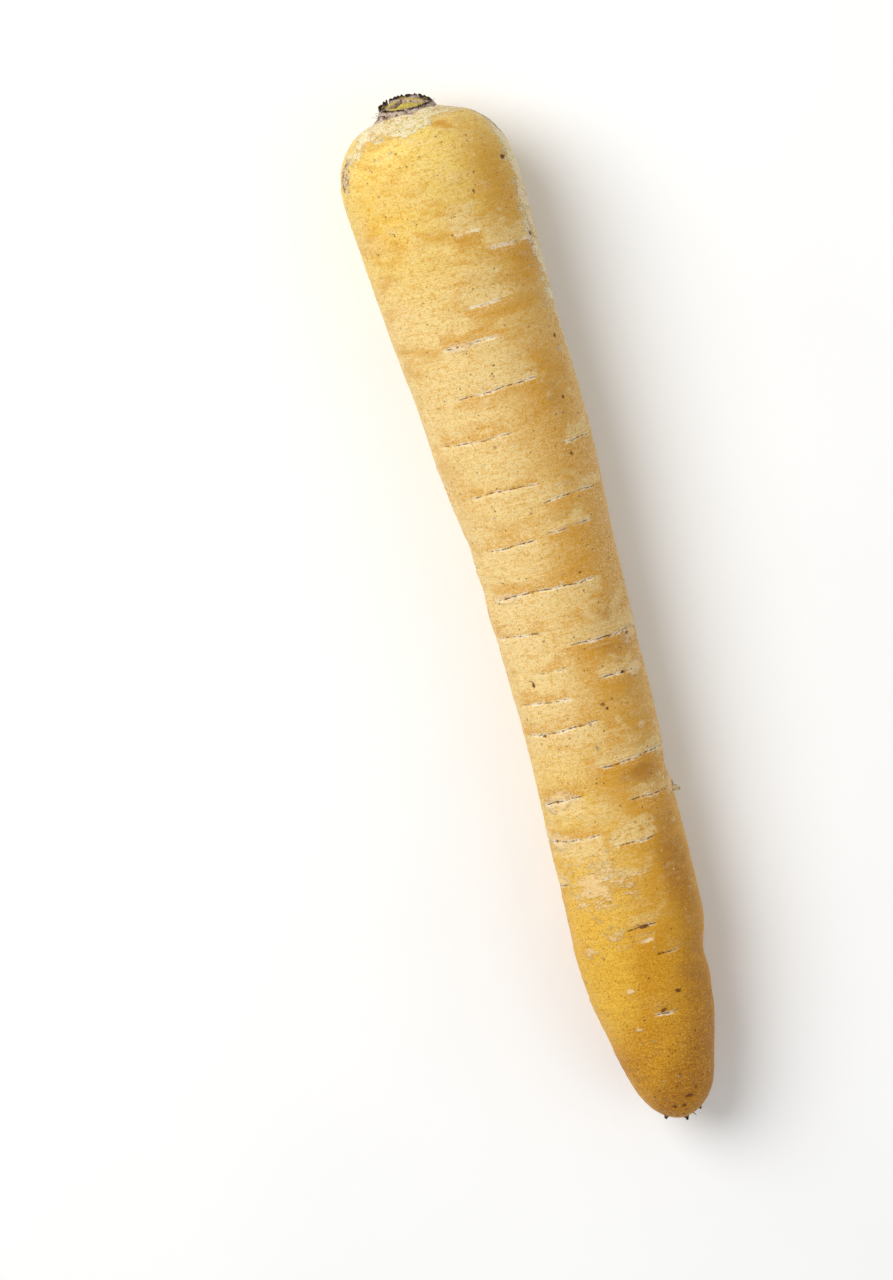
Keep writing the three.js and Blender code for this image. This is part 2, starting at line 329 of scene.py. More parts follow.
class CrownSettings(PropertyGroup):
    """Sizes and colours of the cut leaf stalks and what stands round them."""

    voxel: length("Fineness", "Size of the faces that the stalks are worked in", 0.16)
    swell: length("Swell", "How far each stalk fills the gap to the next", 0.17)
    bud_swell: length("Bud Swell", "How far the heart bud fills the hollow round it", 0.95)
    fibre: length("Fibre", "Height of the fibres down each stalk", 0.1)
    ragged: length("Ragged Rim", "How far the torn rim stands above the cut", 0.7)
    skirt_height: FloatProperty(
        name="Skirt Height", description="Share of the stalks' height that the skirt hides", default=0.66
    )
    lean: length("Lean", "How far the stalks draw in at the cut", 0.85)
    drop: length("Drop", "How much lower the cut lies on the -X side", 0.7)
    fibres: IntProperty(name="Loose Fibres", description="Fibres round the crown", default=26)
    skirt_flare: length("Skirt Flare", "How far the skirt spreads at its foot", 0.9)
    skirt_thickness: length("Skirt Thickness", "Thickness of the papery skirt", 0.14)
    hair_length: length("Hair Length", "Length of the longest loose fibre", 1.9)
    pith: colour("Pith", "Cut face of the inner stalks", "c6b24c")
    dry_pith: colour("Dry Pith", "Cut face of the outer stalks", "cdbb62")
    papery: colour("Papery", "Dry skin of the stalks", "b09684")
    rim: colour("Rim", "Torn rim of the cut", "1c1008")
    fresh_pith: colour("Fresh Pith", "Pale blotches on a cut face", "ddc96e")
    old_pith: colour("Old Pith", "Brown grain on a cut face", "8a6f2a")
    bundle: colour("Bundles", "Dark ends of the fibres in a cut face", "5a3c1c")
    dry_edge: colour("Dry Edge", "Brown edge inside the torn rim", "8f6a3e")
    pale_wall: colour("Pale Wall", "Pale fibres down a stalk", "cfbfae")
    brown_wall: colour("Brown Wall", "Brown blotches on a stalk", "6a4c30")
    pale_paper: colour("Pale Paper", "Pale fibres of the skirt", "d9c6ba")
    brown_paper: colour("Brown Paper", "Brown blotches on the skirt", "5e4430")
    loose_fibre: colour("Loose Fibre", "Lighter loose fibres", "6d4f33")


class RootletSettings(PropertyGroup):
    """Sizes and colours of the dried rootlets."""

    voxel: length("Fineness", "Size of the faces that the rootlets are worked in", 0.07)
    gnarl: length("Gnarl", "Height of the knots and creases", 0.22)
    sink: length("Sink", "How far a rootlet is let into the skin", 0.3)
    hairs: IntProperty(name="Hairs", description="Hairs at the root's end", default=12)
    hair_length: length("Hair Length", "Length of the longest hair at the root's end", 1.1)
    bark: colour("Bark", "Dried skin of a rootlet", "8a6a42")
    pale_bark: colour("Pale Bark", "Corky flecks on a rootlet", "d2b98c")
    dark_bark: colour("Dark Bark", "Creases and broken ends", "1f140c")


class StageSettings(PropertyGroup):
    """The floor, the lamps and the camera."""

    lens: FloatProperty(name="Lens", description="Focal length in mm", default=200, unit="CAMERA")
    distance: length("Distance", "From the camera to the middle of the view", 1412)
    roll: FloatProperty(
        name="Roll", description="Turn of the picture", default=math.radians(-15.2), unit="ROTATION"
    )
    tilt: FloatProperty(
        name="Tilt", description="Lean towards the crown", default=math.radians(6), unit="ROTATION"
    )
    aim_across: FloatProperty(name="Aim Across", description="Middle of the view", default=-0.0208)
    aim_along: FloatProperty(name="Aim Along", description="Middle of the view", default=0.0003)
    height: length("Height", "Height of the middle of the view", 15)
    key_power: FloatProperty(name="Key", description="Power of the key lamp", default=9.2, unit="POWER")
    fill_power: FloatProperty(name="Fill", description="Power of the fill lamp", default=1.3, unit="POWER")
    sky: FloatProperty(name="Sky", description="Strength of the even light", default=0.44)
    floor: colour("Floor", "The pale floor", "fbfbfa")


class Finish:
    """A material that is painted coat by coat. Patterns are in millimetres."""

    # Sockets of the Mix node when it mixes colours.
    MIX_AMOUNT, MIX_UNDER, MIX_OVER, MIX_RESULT = 0, 6, 7, 2

    def __init__(self, name):
        self.material = bpy.data.materials.new(name)
        self.material.use_nodes = True
        self.tree = self.material.node_tree
        self.shader = self.tree.nodes["Principled BSDF"]
        self.object_place = self.node("ShaderNodeTexCoord").outputs["Object"]
        self.base = None
        self.normal = None

    def node(self, kind, sockets=None, **settings):
        node = self.tree.nodes.new(kind)
        for key, value in settings.items():
            setattr(node, key, value)
        for key, value in (sockets or {}).items():
            self.feed(node.inputs[key], value)
        return node

    def feed(self, socket, value):
        if isinstance(value, bpy.types.NodeSocket):
            self.tree.links.new(value, socket)
        elif socket.type == "RGBA":
            socket.default_value = (*value[:3], 1)
        else:
            socket.default_value = value

    def set(self, **sockets):
        for key, value in sockets.items():
            self.feed(self.shader.inputs[key.replace("_", " ")], value)

    def place(self, size, shift=(0, 0, 0)):
        """Object coordinates over a feature size in millimetres, one number or one for each axis."""
        sizes = size if isinstance(size, tuple) else (size,) * 3
        scale = tuple(1 / (MM * s) for s in sizes)
        sockets = {"Vector": self.object_place, "Scale": scale, "Location": shift}
        return self.node("ShaderNodeMapping", sockets).outputs["Vector"]

    def noise(self, size, detail=2, roughness=0.5, distortion=0, shift=(0, 0, 0)):
        sockets = {"Vector": self.place(size, shift), "Scale": 1.0, "Detail": detail}
        sockets.update(Roughness=roughness, Distortion=distortion)
        return self.node("ShaderNodeTexNoise", sockets).outputs["Fac"]

    def specks(self, size, radius, share, shift=(0, 0, 0)):
        """Round specks: one in each cell of the given size, in that share of the cells."""
        cells = self.node("ShaderNodeTexVoronoi", {"Vector": self.place(size, shift), "Scale": 1.0})
        picked = self.node("ShaderNodeSeparateColor", {"Color": cells.outputs["Color"]})
        kept = self.calc("LESS_THAN", picked.outputs["Red"], share)
        reach = self.calc("MULTIPLY_ADD", picked.outputs["Green"], radius * 0.8, radius * 0.2)
        inside = self.calc("DIVIDE", cells.outputs["Distance"], reach)
        strong = self.calc("MULTIPLY_ADD", picked.outputs["Blue"], 0.75, 0.25)
        return self.times(kept, strong, self.ramp(inside, 1.0, 0.45))

    def calc(self, operation, *values, clamp=False):
        node = self.node("ShaderNodeMath", operation=operation, use_clamp=clamp)
        for socket, value in zip(node.inputs, values):
            self.feed(socket, value)
        return node.outputs["Value"]

    def ramp(self, value, start, end, low=0.0, high=1.0):
        """Smoothly from low at start to high at end."""
        sockets = {"Value": value, "From Min": start, "From Max": end, "To Min": low, "To Max": high}
        return self.node("ShaderNodeMapRange", sockets, interpolation_type="SMOOTHSTEP").outputs["Result"]

    def times(self, first, *others):
        for value in others:
            first = self.calc("MULTIPLY", first, value)
        return first

    def plus(self, first, *others):
        for value in others:
            first = self.calc("ADD", first, value)
        return first

    def centred(self, pattern, spread):
        """A pattern that lies round a half, as one that lies round nought."""
        return self.calc("MULTIPLY_ADD", pattern, spread, -spread / 2)

    def layer(self, amount, under, over):
        node = self.node("ShaderNodeMix", data_type="RGBA")
        self.feed(node.inputs[self.MIX_AMOUNT], amount)
        self.feed(node.inputs[self.MIX_UNDER], under)
        self.feed(node.inputs[self.MIX_OVER], over)
        return node.outputs[self.MIX_RESULT]

    def coat(self, shade, *amounts):
        """Lays a shade over the coats so far, by the product of the amounts."""
        self.base = self.layer(self.times(*amounts), self.base, shade)

    def gradient(self, value, stops):
        node = self.node("ShaderNodeValToRGB", {"Fac": value})
        node.color_ramp.interpolation = "B_SPLINE"
        elements = node.color_ramp.elements
        while len(elements) < len(stops):
            elements.new(0.5)
        for element, (position, shade) in zip(elements, stops):
            element.position = position
            element.color = (*shade[:3], 1)
        return node.outputs["Color"]

    def own(self, name):
        """An attribute of the piece's own mesh."""
        return self.node("ShaderNodeAttribute", attribute_name=name).outputs["Fac"]

    def roughen(self, height, distance, strength=1.0):
        """Adds a bump of a distance in millimetres over the bumps so far."""
        sockets = {"Height": height, "Distance": distance * MM, "Strength": strength}
        if self.normal is not None:
            sockets["Normal"] = self.normal
        self.normal = self.node("ShaderNodeBump", sockets).outputs["Normal"]

    def done(self, roughness, specular):
        self.set(Base_Color=self.base, Roughness=roughness, Specular_IOR_Level=specular)
        if self.normal is not None:
            self.set(Normal=self.normal)
        return self.material


def add_object(name, data):
    made = bpy.data.objects.new(name, data)
    bpy.context.scene.collection.objects.link(made)
    return made


def new_piece(name, mesh, material, slot, *replaced):
    """Puts a finished mesh into the scene as a piece of the carrot."""
    piece = add_object(name, mesh)
    mesh.materials.clear()
    mesh.materials.append(material)
    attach(piece, "root")
    if replaced:
        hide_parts(*replaced)
    return piece


def merged_copy(node):
    """A bmesh of a CAD node with its loose triangles joined."""
    bm = bmesh.new()
    bm.from_mesh(NODES[node].data)
    bmesh.ops.remove_doubles(bm, verts=bm.verts, dist=JOIN)
    return bm


def to_mesh(bm, name, smooth=True):
    mesh = bpy.data.meshes.new(name)
    for face in bm.faces:
        face.smooth = smooth
    bm.to_mesh(mesh)
    bm.free()
    return mesh


def surface_of(*meshes):
    """The surface of some meshes, to find places on."""
    bm = bmesh.new()
    for mesh in meshes:
        bm.from_mesh(mesh)
    return tree_of(bm)


def tree_of(bm):
    """The surface of a bmesh that isn't needed any longer, to find places on."""
    tree = BVHTree.FromBMesh(bm)
    bm.free()
    return tree


def ring_edges(ring):
    return list(dict.fromkeys(edge for vert in ring["verts"] for edge in vert.link_edges))


def drawn_out(bm, edges):
    """Draws new faces out of some edges and returns the new vertices and edges, still in place."""
    made = bmesh.ops.extrude_edge_only(bm, edges=edges)["geom"]
    verts = [item for item in made if isinstance(item, bmesh.types.BMVert)]
    edges = [item for item in made if isinstance(item, bmesh.types.BMEdge)]
    return verts, edges


def read_vectors(items, key):
    vectors = np.empty(len(items) * 3, np.float32)
    items.foreach_get(key, vectors)
    return vectors.reshape(-1, 3).astype(float)


def read_places(mesh):
    return read_vectors(mesh.vertices, "co")


def read_normals(mesh):
    return read_vectors(mesh.vertex_normals, "vector")


def write_places(mesh, places):
    mesh.vertices.foreach_set("co", places.astype(np.float32).ravel())
    mesh.update()


def write_attribute(mesh, name, values):
    attribute = mesh.attributes.new(name, "FLOAT", "POINT")
    attribute.data.foreach_set("value", values.astype(np.float32))


def noise_field(places, size, seed, octaves=2):
    """Smooth noise from about -1 to 1, with features of a size in millimetres along each axis."""
    shift = np.array((17.3, 5.7, 9.1)) * seed
    scaled = places / (np.array(size) * MM) + shift
    return np.array([noise.fractal(Vector(p), 1.0, 2.0, octaves) for p in scaled])


def eased(values, start, width):
    """From 0 where the values reach start to 1 a width further on. A width below nought goes downwards."""
    return np.clip((values - start) / width, 0, 1)


def bell(values, width):
    return np.exp(-((values / width) ** 2))


def turned(turn, middle):
    """How far round the root each vertex is from a turn, from -180 to 180 degrees."""
    return (turn - middle + 180) % 360 - 180


def smoothed(bm, rounds):
    for _ in range(rounds):
        bmesh.ops.smooth_vert(
            bm, verts=bm.verts, factor=0.5, use_axis_x=True, use_axis_y=True, use_axis_z=True
        )


# ---------------------------------------------------------------- the root's skin


def capsule(skin, start, end):
    """A closed tube along Y with round ends, whose rings are close enough to carry fine furrows."""
    top = start - skin.shoulder_core
    bottom = end + skin.shoulder_core
    bm = bmesh.new()

    def quarter_turn(vert, height, steps):
        return bmesh.ops.spin(
            bm, geom=[vert], cent=(0, height, 0), axis=(1, 0, 0), angle=math.pi / 2, steps=steps
        )

    arc = quarter_turn(bm.verts.new((0, start, 0)), top, skin.shoulder_rings)
    rim = next(item for item in arc["geom_last"] if isinstance(item, bmesh.types.BMVert))
    foot = bmesh.ops.extrude_vert_indiv(bm, verts=[rim])
    foot["verts"][0].co.y = bottom
    bmesh.ops.subdivide_edges(bm, edges=foot["edges"], cuts=skin.body_rings - 1)
    quarter_turn(min(bm.verts, key=lambda vert: vert.co.y), bottom, skin.tip_rings)
    bmesh.ops.spin(
        bm,
        geom=bm.verts[:] + bm.edges[:],
        cent=(0, 0, 0),
        axis=(0, 1, 0),
        angle=2 * math.pi,
        steps=skin.sides,
        use_merge=True,
    )
    bmesh.ops.remove_doubles(bm, verts=bm.verts, dist=JOIN)
    bmesh.ops.recalc_face_normals(bm, faces=bm.faces)
    return to_mesh(bm, "taproot_skin")


class RootGrid:
    """Where each vertex of the skin lies on the root: its ring, its side and the ray it came along."""

    def __init__(self, skin, mesh, start, end):
        radius = skin.shoulder_core
        places = read_places(mesh)
        top, bottom = start - radius, end + radius
        height = np.clip(places[:, 1], bottom, top)
        centre = np.stack([np.zeros_like(height), height, np.zeros_like(height)], 1)
        self.ray = (places - centre) / radius
        self.ray /= np.linalg.norm(self.ray, axis=1)[:, None]
        rise = np.degrees(np.arcsin(np.clip(self.ray[:, 1], -1, 1)))
        share = (top - height) / (top - bottom)
        over = np.clip(rise, 0, 90) / 90
        under = np.clip(-rise, 0, 90) / 90
        rings = skin.shoulder_rings * (1 - over) + skin.body_rings * share + skin.tip_rings * under
        self.ring = np.rint(rings).astype(int)
        self.turn = np.degrees(np.arctan2(places[:, 0], places[:, 2]))
        self.side = np.rint(self.turn / 360 * skin.sides).astype(int) % skin.sides
        self.last_ring = skin.shoulder_rings + skin.body_rings + skin.tip_rings
        self.sides = skin.sides
        self.share = share

    def spread(self, values):
        """One number for each vertex as a table of rings and sides."""
        table = np.zeros((self.last_ring + 1, self.sides))
        table[self.ring, self.side] = values
        for ring in (0, self.last_ring):
            table[ring] = values[self.ring == ring].mean()
        return table

    def gather(self, table):
        return table[self.ring, self.side]


def evened(table, rounds_round, rounds_along):
    """The table with its facets rubbed down, round the root and along it."""
    for _ in range(rounds_round):
        table = (np.roll(table, 1, 1) + 2 * table + np.roll(table, -1, 1)) / 4
    for _ in range(rounds_along):
        table[1:-1] = (table[:-2] + 2 * table[1:-1] + table[2:]) / 4
    return table


def middle_between(tree, spot, axis):
    """The middle of a shape along an axis through a spot, by rays from both sides."""
    ends = []
    for side in (1, -1):
        start, ray = spot.copy(), Vector()
        start[axis] = side * BEYOND
        ray[axis] = -side
        ends.append(tree.ray_cast(start, ray)[0][axis])
    return sum(ends) / 2


def core_line(tree, low, high):
    """The root's middle line across and upwards, each as a smooth curve of Y."""
    inset = 8 * MM
    stations = np.linspace(low.y + inset, high.y - inset, 24)
    across, upwards = [], []
    for y in stations:
        across.append(middle_between(tree, Vector((0, y, (low.z + high.z) / 2)), 0))
        upwards.append(middle_between(tree, Vector((across[-1], y, 0)), 2))
    fit = np.polynomial.Polynomial.fit
    return fit(stations, across, 6), fit(stations, upwards, 4)


def wrap(skin, grid, low, high):
    """Lays the skin over the root: the core point and the outward distance of each vertex."""
    tree = tree_of(merged_copy("taproot"))
    across, upwards = core_line(tree, low, high)
    top = high.y - skin.shoulder_core
    bottom = low.y + skin.tip_core
    y = top + (bottom - top) * grid.share
    core = np.stack([across(y), y, upwards(y)], 1)
    out = np.array([tree.ray_cast(Vector(p), Vector(ray))[3] for p, ray in zip(core, grid.ray)])
    return core, grid.gather(evened(grid.spread(out), rounds_round=12, rounds_along=30))


def mark_field(marks, station, turn, girth):
    """How much of the marks lies at each vertex, from 0 to 1 at a mark's middle."""
    field = np.zeros_like(station)
    for at, at_turn, along, across, amount in marks:
        away = turned(turn, at_turn) / 360 * girth
        spread = ((station - at) / (along / 2)) ** 2 + (away / (across / 2)) ** 2
        field = field + amount * np.exp(-spread * 0.7)
    return field


def scattered(rng, turns, count, stations, sizes, amounts):
    """Marks strewn over a stretch of the root, as many as count, a little wider than long."""
    return [
        (
            rng.uniform(*stations),
            rng.uniform(*turns),
            rng.uniform(*sizes),
            rng.uniform(*sizes) * 1.6,
            rng.uniform(*amounts),
        )
        for _ in range(count)
    ]


def hidden_furrows(skin, rng):
    """Furrows for the sides and the underside, like those of the upper side."""
    found = []
    for i in range(skin.hidden_furrows):
        at = 26 + 160 * (i + rng.uniform(0.1, 0.9)) / skin.hidden_furrows
        first = rng.uniform(78, 230)
        last = first + rng.uniform(28, 80)
        found.append((at, first, last, rng.uniform(0.2, 0.95), rng.uniform(0.4, 1)))
    return found


def furrow_fields(furrows, station, turn, rng):
    """For each vertex: the distance in mm to the nearest furrow's line, its depth and its cork."""
    reach, far = 2.6, 9.0
    distance = np.full_like(station, far)
    depth = np.zeros_like(station)
    cork = np.zeros_like(station)
    for at, first, last, how_deep, how_corky in furrows:
        away = turned(turn, (first + last) / 2)
        phases = [rng.uniform(0, 6.3) for _ in range(5)]
        line = at + 0.22 * np.sin(away * 0.07 + phases[0]) + 0.08 * np.sin(away * 0.27 + phases[1])
        off = station - line
        ends = np.clip((1 - np.abs(away) / ((last - first) / 2)) * 4, 0, 1)
        dashes = np.sin(away * 0.33 + phases[2]) + 0.7 * np.sin(away * 0.79 + phases[3])
        broken = np.clip(0.7 + 0.3 * dashes, 0.2, 1)
        patchy = np.clip(0.7 + 0.45 * np.sin(away * 0.21 + phases[4]), 0.15, 1)
        nearer = (np.abs(off) < np.abs(distance)) & (np.abs(off) < reach) & (ends > 0)
        distance[nearer] = off[nearer]
        depth[nearer] = (how_deep * ends * broken)[nearer]
        cork[nearer] = (how_corky * ends * patchy)[nearer]
    return distance, depth, cork


def furrow_tone(furrows, station, turn):
    """Pale on one side of each furrow and golden on the other, from 1 to -1."""
    tone = np.zeros_like(station)
    for at, first, last, _, how_corky in furrows:
        middle, half = (first + last) / 2, (last - first) / 2
        ends = np.clip((1.1 - np.abs(turned(turn, middle)) / half) * 3, 0, 1)
        off = (station - at) * (1 if middle < 0 else -1)
        side = np.where(off > 0, np.exp(-off / 3.2), -np.exp(off / 2.2))
        tone += how_corky * ends * side * np.clip(np.abs(off) / 0.3, 0, 1)
    return np.clip(tone, -1, 1)


def skin_relief(skin, places, fields):
    """How far each vertex stands above or below the plain root. Widths are in mm."""
    off, depth, cork = fields["furrow"], fields["furrow_depth"], fields["furrow_cork"]
    floor_width, dip_width = 0.3, 1.8
    lip_place, lip_width = 0.62, 0.3
    height = skin.unevenness * noise_field(places, (13, 24, 13), 1, 2)
    height += 0.35 * skin.unevenness * noise_field(places, (7, 5, 7), 2, 2)
    height += skin.wrinkle * noise_field(places, (9, 1.1, 9), 3, 3)
    height -= skin.furrow_depth * depth * bell(off, floor_width)
    height -= 0.3 * skin.furrow_depth * depth * bell(off, dip_width)
    crumbs = 0.6 + 0.6 * noise_field(places, (0.9, 0.6, 0.9), 4, 2)
    height += skin.lip_height * cork * bell(np.abs(off) - lip_place, lip_width) * crumbs
    patches = np.clip(fields["cork"] * 1.6 - 0.4, 0, 1) + np.clip(fields["scab"] * 1.4 - 0.3, 0, 1)
    height += skin.patch_height * patches * (crumbs + 0.2)
    height -= skin.pit_depth * np.clip(fields["pit"], 0, 1)
    return height


def crown_collar(skin, places):
    """How far the skin rises in Y where it swells up against the stalks, most of all at the front."""
    middle, _ = crown_place()
    across = (places[:, 0] - middle.x) / MM
    up = (places[:, 2] - middle.z) / MM
    radius = np.hypot(across, up)
    facing = np.clip((0.35 * across + up) / np.maximum(radius, 1), -0.3, 1)
    inner = eased(radius, 5.5, 0.7)
    outer = eased(radius, 10.5, -4.2) ** 1.5
    on_top = eased(places[:, 1] - middle.y, -6 * MM, 2 * MM)
    uneven = 1 + 0.35 * noise_field(places, (2.5, 9, 2.5), 5, 2)
    return skin.collar * (0.35 + 0.65 * facing) * inner * outer * on_top * uneven


def strip_map(mesh, grid):
    """A map of the skin for baking: the upper and the lower half of the root side by side."""
    loops = len(mesh.loops)
    corner = np.empty(loops, np.int32)
    mesh.loops.foreach_get("vertex_index", corner)
    ring = grid.ring[corner].astype(float)
    side = grid.side[corner].astype(float)
    total = np.empty(len(mesh.polygons), np.int32)
    mesh.polygons.foreach_get("loop_total", total)
    face = np.repeat(np.arange(len(mesh.polygons)), total)
    seam = (side + grid.sides / 2) % grid.sides  # the seam runs along the underside
    at_pole = (ring == 0) | (ring == grid.last_ring)
    lowest = np.full(len(mesh.polygons), 1e9)
    highest = np.full(len(mesh.polygons), -1e9)
    np.minimum.at(lowest, face[~at_pole], seam[~at_pole])
    np.maximum.at(highest, face[~at_pole], seam[~at_pole])
    crosses = (highest - lowest > grid.sides / 2)[face]
    seam = np.where(crosses & (seam < grid.sides / 2), seam + grid.sides, seam)
    middle = np.where(crosses, grid.sides - 0.5, (lowest + highest)[face] / 2)
    seam = np.where(at_pole, middle, seam)
    half = grid.last_ring // 2
    mean_ring = np.zeros(len(mesh.polygons))
    np.add.at(mean_ring, face, ring)
    lower = (mean_ring / total > half)[face]
    margin = 0.006
    u = margin + seam / grid.sides * (0.5 - 2 * margin) + np.where(lower, 0.5, 0)
    span = np.where(lower, grid.last_ring - half, half)
    v = margin + np.where(lower, ring - half, ring) / span * (1 - 2 * margin)
    layer = mesh.uv_layers.new(name="OFBake")
    layer.data.foreach_set("uv", np.stack([u, v], 1).astype(np.float32).ravel())


def skin_finish(skin, high):
    """The carrot's skin: straw near the crown to amber at the end, with cork, scurf and pores, and painted
    shade and light down its two sides.
    """
    f = Finish("carrot_skin")
    along = f.node("ShaderNodeSeparateXYZ", {"Vector": f.object_place}).outputs["Y"]
    drift = f.noise((30, 12, 30), 2, 0.5, 0, (3, 1, 7))
    plain_station = f.calc("SUBTRACT", high.y / MM, f.calc("MULTIPLY", along, 1 / MM))
    share = f.calc("DIVIDE", f.plus(plain_station, f.centred(drift, 20)), ROOT_SPAN)
    f.base = f.gradient(
        share,
        (
            (0.0, skin.lemon),
            (0.1, skin.straw),
            (0.2, skin.cream),
            (0.58, skin.cream),
            (0.68, skin.straw),
            (0.8, skin.gold),
            (0.87, skin.amber),
            (0.91, skin.amber),
            (0.96, skin.rust),
        ),
    )
    # Broad golden and pale bands that lie round the root.
    bands = f.noise((16, 7, 16), 3, 0.55, 0.6, (1, 8, 2))
    f.coat(skin.gold, f.ramp(bands, 0.48, 0.68, 0, 0.6))
    pale = f.noise((13, 6, 13), 3, 0.6, 0.8, (9, 2, 4))
    upper = f.ramp(share, 0.72, 0.86, 1, 0.1)
    f.coat(skin.cream, f.ramp(pale, 0.5, 0.7, 0, 0.6), upper)
    cloud = f.noise((5, 3, 5), 4, 0.65, 0.4, (6, 6, 1))
    # Blemishes, plus painted shade in gold and rust down the +X side and painted light in honey on the -X
    # side.
    blemish_and_shading = f.plus(f.own("blemish_and_shading"), f.centred(cloud, 0.8))
    f.coat(skin.gold, f.ramp(blemish_and_shading, 0.05, 0.85), 0.8)
    f.coat(skin.honey, f.ramp(blemish_and_shading, -0.15, -0.8), 0.8)
    f.coat(skin.rust, f.ramp(blemish_and_shading, 0.9, 1.7), 0.8)
    tone = f.plus(f.own("tone"), f.centred(cloud, 1.8))
    f.coat(skin.cream, f.ramp(tone, 0.05, 0.45), upper, 0.75)
    f.coat(skin.gold, f.ramp(tone, -0.05, -0.45), 0.62)
    # Fine streaks: round the root, and along it towards the end.
    streaks = f.noise((6, 0.28, 6), 3, 0.65)
    f.coat(skin.gold, f.ramp(streaks, 0.5, 0.72, 0, 0.4))
    f.coat(skin.cream, f.ramp(streaks, 0.46, 0.26, 0, 0.36), upper)
    lines = f.noise((0.45, 7, 0.45), 2, 0.6)
    near_end = f.ramp(share, 0.8, 0.98)
    f.coat(skin.rust, f.ramp(lines, 0.5, 0.7, 0, 0.5), near_end)
    # Powdery grain, which lies thickest beside the furrows.
    grain = f.noise(0.34, 3, 0.75)
    crazing = f.noise((0.9, 0.6, 0.9), 3, 0.7, 1.0, (3, 3, 9))
    off = f.calc("ABSOLUTE", f.plus(f.own("furrow"), f.centred(f.noise(0.8, 2, 0.6), 0.6)))
    beside = f.times(f.own("furrow_cork"), f.ramp(off, 2.4, 0.6))
    dusty = f.ramp(f.noise((9, 5, 9), 3, 0.6, 0.5, (5, 5, 5)), 0.42, 0.68, 0.12, 0.6)
    dustiest = f.calc("MAXIMUM", dusty, f.own("powder"))
    powder = f.calc("ADD", f.times(beside, 0.5), dustiest, clamp=True)
    powder = f.times(powder, f.ramp(plain_station, 150, 176, 1, 0.12))
    f.coat(skin.gold, f.ramp(crazing, 0.5, 0.38), 0.6)
    f.coat(skin.cork, f.ramp(grain, 0.5, 0.6), powder, 0.9)
    f.coat(skin.cork, f.ramp(crazing, 0.52, 0.64), powder, 0.4)
    f.coat(skin.amber, f.ramp(grain, 0.46, 0.38), 0.62)
    # On the lower root: honey flecks, partly the skin's own mottle and partly painted small highlights, and
    # dark rust flecks.
    lower = f.ramp(plain_station, 148, 178, 0, 0.45)
    f.coat(skin.honey, f.ramp(grain, 0.52, 0.62), lower)
    f.coat(skin.rust, f.ramp(grain, 0.46, 0.37), lower)
    # Cork, scurf and scab.
    ragged = f.noise((1.5, 0.9, 1.5), 4, 0.7)
    torn = f.noise((3.6, 2.4, 3.6), 2, 0.6, 0.6, (2, 9, 9))
    coarse = f.plus(f.centred(ragged, 1.1), f.centred(torn, 1.3))
    fine = f.plus(coarse, f.centred(crazing, 0.8))
    patch = f.ramp(f.plus(f.own("cork"), fine), 0.36, 0.66)
    f.coat(skin.cork, patch, f.ramp(grain, 0.38, 0.58, 0.45, 0.85))
    lips = f.times(f.ramp(f.own("furrow_cork"), 0.05, 0.7), f.ramp(off, 0.52, 0.2))
    f.coat(skin.lip, lips, f.ramp(crazing, 0.38, 0.5), 0.8)
    crown_edge = f.ramp(f.plus(plain_station, f.times(coarse, 6)), 4.0, 0.5)
    scurf_here = f.calc("MAXIMUM", f.own("scurf"), f.times(crown_edge, 0.85))
    scurf = f.ramp(f.plus(scurf_here, f.times(fine, 1.3)), 0.45, 0.75)
    f.coat(skin.scurf, scurf, f.ramp(grain, 0.42, 0.53, 0.15, 0.9))
    f.coat(skin.moss, scurf, f.ramp(crazing, 0.5, 0.4), f.ramp(plain_station, 8, 4), 0.6)
    scab = f.ramp(f.plus(f.own("scab"), fine), 0.36, 0.8)
    f.coat(skin.scurf, scab, 0.7)
    f.coat(skin.scab, scab, f.ramp(crazing, 0.42, 0.56, 0.25, 1.0))
    # Pores, dark and pale, and the dark floor of the furrows.
    fine_pores = f.specks(1.4, 0.22, 0.75)
    pores = f.specks(3.6, 0.13, 0.7, (2, 6, 1))
    f.coat(skin.pore, fine_pores, 0.7)
    f.coat(skin.pore, pores, 0.85)
    f.coat(skin.cork, f.specks(2.1, 0.17, 0.5, (7, 1, 3)), f.ramp(near_end, 0, 1, 0.8, 0.45))
    crusty = f.calc("MAXIMUM", scurf, f.calc("MAXIMUM", scab, near_end))
    crusty = f.calc("MAXIMUM", crusty, f.times(f.own("powder"), 0.5))
    f.coat(skin.pore, crusty, f.specks(0.95, 0.3, 0.5, (4, 4, 8)), 0.9)
    f.coat(skin.pore, near_end, f.specks(1.3, 0.36, 0.75, (6, 2, 9)), 0.9)
    thread = f.calc("ABSOLUTE", f.plus(f.own("furrow"), f.centred(f.noise(0.5, 2, 0.6), 0.3)))
    dashes = f.ramp(f.noise(1.1, 3, 0.7, 0, (8, 3, 5)), 0.43, 0.55, 0.1, 1)
    floor = f.times(f.ramp(f.own("furrow_depth"), 0.02, 0.6), f.ramp(thread, 0.17, 0.06), dashes)
    f.coat(skin.pore, floor, 0.85)
    f.coat(skin.pore, f.ramp(f.plus(f.own("pit"), f.centred(crazing, 1.6)), 0.42, 0.66), 0.92)
    # Dry places are rough, bare ones have a soft gloss.
    dry = f.calc("ADD", f.times(patch, 0.5), f.plus(scurf, scab), clamp=True)
    gloss = f.calc("MULTIPLY_ADD", dry, 0.3, f.ramp(bands, 0.3, 0.7, 0.46, 0.36))
    gloss = f.calc("MULTIPLY_ADD", grain, 0.16, gloss)
    f.roughen(streaks, 0.15, 0.9)
    f.roughen(grain, 0.11)
    f.roughen(f.plus(f.times(scurf, ragged), f.times(patch, ragged)), 0.22)
    f.roughen(f.times(f.plus(fine_pores, pores, floor), -1), 0.16)
    f.set(Subsurface_Weight=0.12, Subsurface_Scale=1.6 * MM, Subsurface_Radius=(1.0, 0.55, 0.2))
    return f.done(gloss, 0.17)


